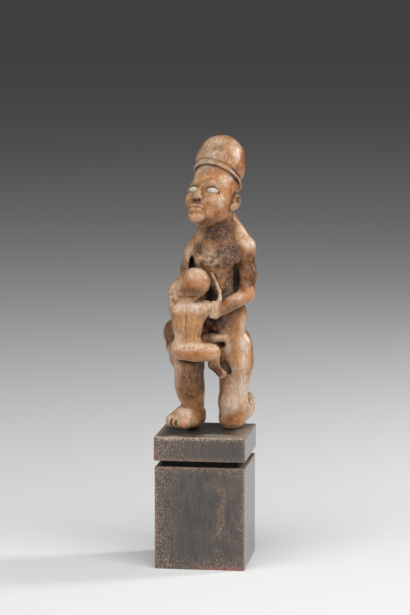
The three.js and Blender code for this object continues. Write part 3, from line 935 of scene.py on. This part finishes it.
class Finish:
    """A material built node by node."""

    def __init__(self, name):
        self.material = bpy.data.materials.new(name)
        self.material.use_nodes = True
        self.tree = self.material.node_tree
        self.tree.nodes.clear()

    def node(self, kind, settings=None, values=None, out=0):
        """One node with its settings, its inputs as values or wires, and the output that is used."""
        made = self.tree.nodes.new(kind)
        for name, value in (settings or {}).items():
            setattr(made, name, value)
        for name, value in (values or {}).items():
            if isinstance(value, Wire):
                self.tree.links.new(value.socket, made.inputs[name])
            else:
                made.inputs[name].default_value = value
        return Wire(self, made.outputs[out] if made.outputs else None)

    def maths(self, operation, a, b=0.0, clamp=False):
        return self.node("ShaderNodeMath", {"operation": operation, "use_clamp": clamp}, {0: a, 1: b})

    def clamp(self, value):
        return self.maths("ADD", value, 0.0, clamp=True)

    def step(self, low, high, value):
        """From 0 below low to 1 above high, smoothly."""
        return self.node(
            "ShaderNodeMapRange",
            {"interpolation_type": "SMOOTHSTEP"},
            {"Value": value, "From Min": low, "From Max": high},
        )

    def number(self, name):
        """A number painted on the mesh."""
        return self.node("ShaderNodeAttribute", {"attribute_name": name}, out="Fac")

    def place(self, stretch=(1, 1, 1)):
        """The place on the object in millimetres, stretched."""
        at = self.node("ShaderNodeTexCoord", out="Object")
        return self.node(
            "ShaderNodeVectorMath", {"operation": "MULTIPLY"}, {0: at, 1: [s / MM for s in stretch]}
        )

    def along(self, axis):
        """The place in millimetres along x, y or z."""
        return self.node("ShaderNodeSeparateXYZ", {}, {"Vector": self.place()}, out=axis)

    def cap_line(self):
        """One on a fine line round the cap just above its roll, worked out in the head's own frame."""
        turned = self.node(
            "ShaderNodeMapping",
            {"vector_type": "TEXTURE"},
            {
                "Vector": self.place(),
                "Location": Vector(HEAD_PLACE) + Vector((0, 0, PLINTH_HEIGHT + REST_GAP)),
                "Rotation": head_matrix().to_euler(),
            },
        )
        at_y = self.node("ShaderNodeSeparateXYZ", {}, {"Vector": turned}, out=1)
        at_z = self.node("ShaderNodeSeparateXYZ", {}, {"Vector": turned}, out=2)
        above = at_z - CAP_UP + CAP_TILT * at_y - CAP_LINE_UP
        return 1 - self.step(0.2, 0.65, self.maths("ABSOLUTE", above))

    def noise(self, place, size, detail=3.0, roughness=0.55, distortion=0.0):
        """From about 0 to 1, changing over the given size."""
        return self.node(
            "ShaderNodeTexNoise",
            {},
            {
                "Vector": place,
                "Scale": 1 / size,
                "Detail": detail,
                "Roughness": roughness,
                "Distortion": distortion,
            },
        )

    def mix(self, mask, a, b, blend="MIX"):
        """Colour a where the mask is 0 and colour b where it is 1."""

        def colour(value):
            return value if isinstance(value, Wire) else (*value, 1)

        return self.node(
            "ShaderNodeMix",
            {"data_type": "RGBA", "blend_type": blend, "clamp_factor": True},
            {0: mask, 6: colour(a), 7: colour(b)},
            out=2,
        )

    def bump(self, height, strength, distance):
        values = {"Height": height, "Strength": strength, "Distance": distance}
        return self.node("ShaderNodeBump", {}, values)

    def done(self, values):
        shader = self.node("ShaderNodeBsdfPrincipled", {}, values)
        self.node("ShaderNodeOutputMaterial", {}, {"Surface": shader})
        return self.material

    def __call__(self, piece):
        piece.data.materials.append(self.material)


def carved_wood():
    """Bare wood first, then wear, crust and darker patches, with painted highlights and sheen, and
    painted shade in hollows, creases and slits.
    """
    f = Finish("carved_wood")
    place = f.place()
    fibres = f.place((1, 1, 0.11))
    open_near = f.number("open_near")
    open_far = f.number("open_far")
    crest = f.number("crest_broad") + f.number("crest_fine") * 0.5
    blotches = f.noise(place, 7, 5, 0.6)
    cakes = f.noise(place, 4, 5, 0.62)
    mottle = f.noise(place, 2.4, 5, 0.66)
    specks = f.noise(place, 1, 3, 0.6)
    grain = f.noise(fibres, 1.25, 4, 0.6, 0.4)

    polished = f.number("polished")
    tone = f.step(0.41, 0.59, blotches * 0.3 + grain * 0.7) * (1 - polished * 0.3)
    colour = f.mix(tone, PALE_WOOD, DARK_WOOD)
    ruddy = f.number("ruddy") * f.step(0.25, 0.5, mottle * 0.5 + blotches * 0.5)
    colour = f.mix(ruddy * 0.9, colour, f.mix(tone, PALE_RUDDY, DARK_RUDDY))
    # Darker brown, partly painted shade under the forearm and in recesses
    brown_and_shade = f.number("brown_and_shade") * f.step(0.26, 0.5, mottle * 0.6 + grain * 0.4)
    dark_tone = f.step(0.44, 0.56, mottle * 0.55 + grain * 0.45)
    colour = f.mix(brown_and_shade * 0.88, colour, f.mix(dark_tone, PALE_BROWN, DARK_BROWN))
    # Paler on crests and where worn; some of the worn patches are painted highlights
    worn = f.clamp(f.number("worn") + f.step(0.04, 0.2, crest) * 0.45)
    rubbing = f.step(0.3, 0.56, blotches * 0.5 + grain * 0.15 + mottle * 0.35)
    worn = worn * rubbing * (1 - brown_and_shade * 0.75)
    colour = f.mix(worn * 0.85, colour, WORN_AND_HIGHLIT_WOOD)
    greyed = f.number("greyed") * f.step(0.4, 0.58, mottle * 0.6 + blotches * 0.4)
    colour = f.mix(greyed * 0.7, colour, GREYED_WOOD)
    colour = f.mix(f.number("bare") * 0.8, colour, BARE_WOOD)
    shade = 0.52 + f.step(0.38, 0.62, mottle * 0.35 + grain * 0.4 + specks * 0.25) * 0.78
    shade = shade + (0.88 - shade) * (polished * 0.32 + worn * (1 - polished) * 0.2)
    colour = f.mix(1.0, colour, shade, "MULTIPLY")

    # Painted highlights and sheen
    painted_sheen = f.number("painted_sheen") * f.step(0.32, 0.6, grain * 0.5 + blotches * 0.5)
    colour = f.mix(painted_sheen * 0.45, colour, SHEEN_PAINT)

    # Painted shade: darker where little around the surface is open, in hollows and creases
    hollow = 1 - f.step(0.3, 0.85, open_far)
    crease = 1 - f.step(0.4, 0.82, open_near)
    # Dark crust; some of its patches are painted shade
    patch = f.number("residue_and_shade")
    crust = f.step(0.465, 0.525, cakes * 0.78 + specks * 0.22)
    dirt = f.mix(f.step(0.45, 0.58, specks), DARK_CRUST, PALE_CRUST)
    colour = f.mix(patch * (0.1 + crust * 0.82), colour, dirt)
    # Darker patches, partly painted shade
    dark_patch_and_shade = f.number("dark_patch_and_shade") * (0.4 + f.step(0.4, 0.57, grain * 0.4 + mottle * 0.6) * 0.6)
    colour = f.mix(dark_patch_and_shade * 0.84, colour, DARK_PATCH_AND_SHADE)
    grit = f.step(0.53, 0.62, f.noise(place, 1.1, 3, 0.6)) * patch
    colour = f.mix(grit * 0.42, colour, GRIT)
    # Painted shade in hollows, with soot where the crust lies
    hollow_shade_and_soot = hollow * (0.25 + crust * 0.35)
    colour = f.mix(hollow_shade_and_soot, colour, SOOT_AND_SHADE)
    pits = f.step(0.56, 0.66, specks) * f.step(0.4, 0.6, mottle)
    colour = f.mix(pits * (0.75 - worn * 0.1) * (1 - polished * 0.45), colour, PIT)
    colour = f.mix(f.cap_line() * 0.7, colour, CAP_LINE)
    # Painted shade in creases
    colour = f.mix(crease * 0.85, colour, CREASE_SHADE)
    # Painted shade, near black, in the slits and recesses
    colour = f.mix(f.number("hollow"), colour, SHADOW_BLACK)

    dull = f.clamp(patch * crust * 0.8 + greyed * 0.3 + crease)
    rough = 0.23 + mottle * 0.16 + dull * 0.4
    height = (grain * 0.7 + mottle * 0.8 + specks * 0.3 - pits * 0.6) * (1 - polished * 0.55)
    height = height + blotches * 0.5 - patch * crust * 0.4
    normal = f.bump(height, 0.46, 0.0006)
    f.done({
        "Base Color": colour, "Roughness": rough, "Normal": normal,
        "Specular IOR Level": 0.2, "Coat Weight": 0.22, "Coat Roughness": 0.22,
    })
    return f


def stained_wood():
    """A dark stain, then the warmer side, the fibres, what is rubbed off, a paler band round the top's
    front and sides, and painted shade in the groove.
    """
    f = Finish("plinth_wood")
    place = f.place()
    x, y, z = f.along(0), f.along(1), f.along(2)
    edge = f.number("edge")
    broad = f.number("edge_broad")
    groove = f.number("groove")
    clouds = f.noise(place, 14, 3)
    sway = f.noise(place, 15, 2) - 0.5
    patches = f.noise(place, 8, 4, 0.6)
    rubbing = f.noise(place, 2.4, 4, 0.7)
    stipple = f.noise(f.place((1, 1, 0.5)), 0.5, 2, 0.5)
    fibres = f.noise(f.place((1, 1, 0.08)), 0.9, 3, 0.6)
    slab = f.step(PLINTH_HEIGHT - SLAB - 1, PLINTH_HEIGHT - SLAB, z)
    top = f.step(PLINTH_HEIGHT - 0.5, PLINTH_HEIGHT - 0.1, z)

    front = 1 - f.step(FACE, -14, y + sway * 10)
    left = (1 - f.step(FACE, -9, x + sway * 18)) * front
    slab_left = slab * (1 - f.step(-8, 16, x + sway * 14)) * front
    right = f.step(2, 16, x + sway * 16) * (1 - slab) * front
    bend = z - 42
    stray = x - 16.5 + bend * bend * 0.012 + sway * 16
    streak = (1 - f.step(1, 18, stray * stray)) * f.step(14, 30, z)
    streak = streak * (1 - f.step(54, 68, z)) * front
    low = 1 - f.step(2, 13, z + sway * 8)
    colour = f.mix(f.step(0.35, 0.65, clouds), DARK_STAIN, PALE_STAIN)
    warm = f.clamp(left * 0.5 + low * 0.3 + slab_left * 0.5 + right * 0.3)
    colour = f.mix(warm, colour, WARM_STAIN)
    # The top face darker and greener than the sides
    colour = f.mix(f.clamp(top - warm), colour, DARKER_TOP)
    dark_fibres = f.step(0.44, 0.6, fibres) * (0.7 - slab * 0.35) + slab * 0.22
    colour = f.mix(dark_fibres, colour, DARK_FIBRE)
    broken = f.step(0.46, 0.6, rubbing * 0.6 + fibres * 0.4)
    colour = f.mix(streak * broken * 0.5, colour, STREAK)

    rubbed = f.step(0.48, 0.66, patches) * 0.2 + broad * 0.3 + left * 0.6 + low * 0.35
    rubbed = rubbed + streak * 0.2 + slab_left * 0.3
    rubbed = f.clamp(rubbed + right * f.step(0.45, 0.6, patches) * 0.2)
    flecks = f.step(0.54, 0.6, stipple) * rubbed * (1 - slab * 0.35)
    colour = f.mix(flecks * 0.74, colour, FLECK)

    # Paler along the top's front edge and sides, dark behind
    depth = y + SLAB_SIDE / 2 + sway * 60 - x * 0.22
    pale_band = (1 - f.step(5, 15, depth)) + f.step(17, 27, x) * 0.7
    pale_band = f.clamp(pale_band + (1 - f.step(FACE, -24, x)) * 0.8)
    pale_band = pale_band * top * (0.5 + f.step(0.3, 0.7, rubbing) * 0.5)
    colour = f.mix(pale_band, colour, PALE_TOP_BAND)
    worn = f.clamp(edge * (f.step(0.38, 0.6, rubbing) + f.step(0.5, 0.6, stipple)))
    left_edge = (1 - f.step(FACE, -29.5, x)) * f.step(10, 18, z)
    foot_edge = (1 - f.step(2, 4, z)) * f.step(-6, -1, x)
    slab_edge = slab * (1 - f.step(FACE, -28, x)) * 0.6
    red = f.clamp(left_edge + foot_edge + slab_edge) * f.step(0.4, 0.5, patches)
    colour = f.mix(worn * 0.75, colour, f.mix(red, RUBBED_TAN, RUBBED_RED))
    side_band = (1 - f.step(FACE, -28.8, x)) * f.step(12, 22, z) * (1 - f.step(48, 62, z))
    foot_band = (1 - f.step(1.4, 3.4, z)) * f.step(-6, 0, x)
    bands = f.clamp(side_band + foot_band) * (1 - f.step(FACE, -29, y)) * f.step(0.44, 0.54, rubbing)
    colour = f.mix(bands * 0.6, colour, RED_BAND)
    fading = 1 - f.step(0, 24, x + sway * 20) * 0.6
    front_rim = broad * broad * (1 - f.step(-30, -24, y)) * fading
    rim = f.clamp(edge + front_rim * 0.9) * f.step(PLINTH_HEIGHT - 3.5, PLINTH_HEIGHT - 1, z)
    rim = rim * f.step(0.49, 0.56, stipple * 0.6 + rubbing * 0.4)
    colour = f.mix(rim * 0.8, colour, PALE_RIM)
    # Painted shade: the groove near black
    colour = f.mix(groove, colour, GROOVE_SHADE)

    rough = 0.42 + flecks * 0.25 + clouds * 0.14 + groove * 0.4
    height = fibres * 0.6 - flecks * 0.5
    normal = f.bump(height, 0.3, 0.00025)
    f.done({
        "Base Color": colour, "Roughness": rough, "Normal": normal,
        "Coat Weight": (1 - groove) * 0.8, "Coat Roughness": 0.12,
    })
    return f


def pale_glaze():
    f = Finish("eye_glaze")
    place = f.place()
    clouds = f.noise(place, 1.6, 4, 0.6)
    crackle = f.step(0.5, 0.62, f.noise(place, 0.6, 3, 0.6))
    colour = f.mix(f.step(0.35, 0.7, clouds), PALE_GLAZE, DULL_GLAZE)
    colour = f.mix(crackle * 0.45, colour, CRACKLE)
    normal = f.bump(clouds, 0.3, 0.0002)
    f.done({"Base Color": colour, "Roughness": 0.3 + clouds * 0.2, "Normal": normal, "Coat Weight": 0.3})
    return f


def floor_finish():
    f = Finish("pale_floor")
    f.done({"Base Color": FLOOR_GREY, "Roughness": 0.9, "Specular IOR Level": 0.1})
    return f


# The studio and the camera, in metres


# Each lamp's name, its place, the point that it faces, its width and height, and its watts
LAMPS = (
    ("front", (0.1, -1.1, 1.4), (0, -0.1, 0), (2.6, 1.4), 37),
    ("key", (1.09, 0.49, 0.75), (0, 0, 0.15), (0.26, 0.45), 8.5),
    ("fill", (-1, -0.8, 0.6), (0, 0, 0.18), (1.2, 1.2), 3),
    ("window", (1.2, -0.7, 0.42), (0, 0, 0.15), (0.13, 0.84), 3.2),
    ("backdrop", (0.2, 3.1, 1.4), (0.2, 3.1, 0), (1.5, 1), 0.3),
)
AIR_GLOW = 0.06
FLOOR_REACH = 60
CAMERA_PLACE = (0.2583, -1.8698, 0.4272)
CAMERA_TURN = math.radians(7.876)
CAMERA_DIP = 0.13089
PHOTO_HEIGHT = 615
FOCAL_LENGTH = 2747
SENSOR_HEIGHT = 36


def lamp(name, place, aim, size, power):
    light = bpy.data.lights.new(name, "AREA")
    light.shape = "RECTANGLE"
    light.size, light.size_y = size
    light.energy = power
    stand = bpy.data.objects.new(name, light)
    bpy.context.collection.objects.link(stand)
    stand.location = place
    stand.rotation_euler = (Vector(aim) - Vector(place)).to_track_quat("-Z", "Y").to_euler()


def studio():
    corners = [(u * FLOOR_REACH, v * FLOOR_REACH, 0) for u, v in ((-1, -1), (1, -1), (1, 1), (-1, 1))]
    floor = mesh_object("floor", corners, [(0, 1, 2, 3)], smooth=False)
    floor_finish()(floor)
    for settings in LAMPS:
        lamp(*settings)
    world = bpy.data.worlds.new("studio")
    world.use_nodes = True
    background = world.node_tree.nodes["Background"]
    background.inputs["Color"].default_value = (1, 1, 1, 1)
    background.inputs["Strength"].default_value = AIR_GLOW
    bpy.context.scene.world = world
    bpy.context.scene.view_settings.view_transform = "Standard"


def camera():
    """Where the photo was taken from. The focal length is in the photo's own pixels."""
    lens = bpy.data.cameras.new("camera")
    lens.sensor_fit = "VERTICAL"
    lens.sensor_height = SENSOR_HEIGHT
    lens.lens = FOCAL_LENGTH / PHOTO_HEIGHT * SENSOR_HEIGHT
    lens.clip_start = 0.05
    lens.clip_end = 200
    view = bpy.data.objects.new("camera", lens)
    bpy.context.collection.objects.link(view)
    view.location = CAMERA_PLACE
    level = math.cos(CAMERA_DIP)
    ahead = Vector((-math.sin(CAMERA_TURN) * level, math.cos(CAMERA_TURN) * level, -math.sin(CAMERA_DIP)))
    view.rotation_euler = ahead.to_track_quat("-Z", "Y").to_euler()
    bpy.context.scene.camera = view


camera()
studio()

figure = carved_figure()
carved_wood()(figure)
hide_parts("figure")
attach(figure, "root")

plinth = stained_plinth()
stained_wood()(plinth)
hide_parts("plinth")
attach(plinth, "root")

glaze = pale_glaze()
for side, name in ((-1, "right"), (1, "left")):
    inlay = eye_inlay(side, f"glazed_eye_{name}")
    glaze(inlay)
    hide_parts(f"eye_inlay_{name}")
    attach(inlay, "root")
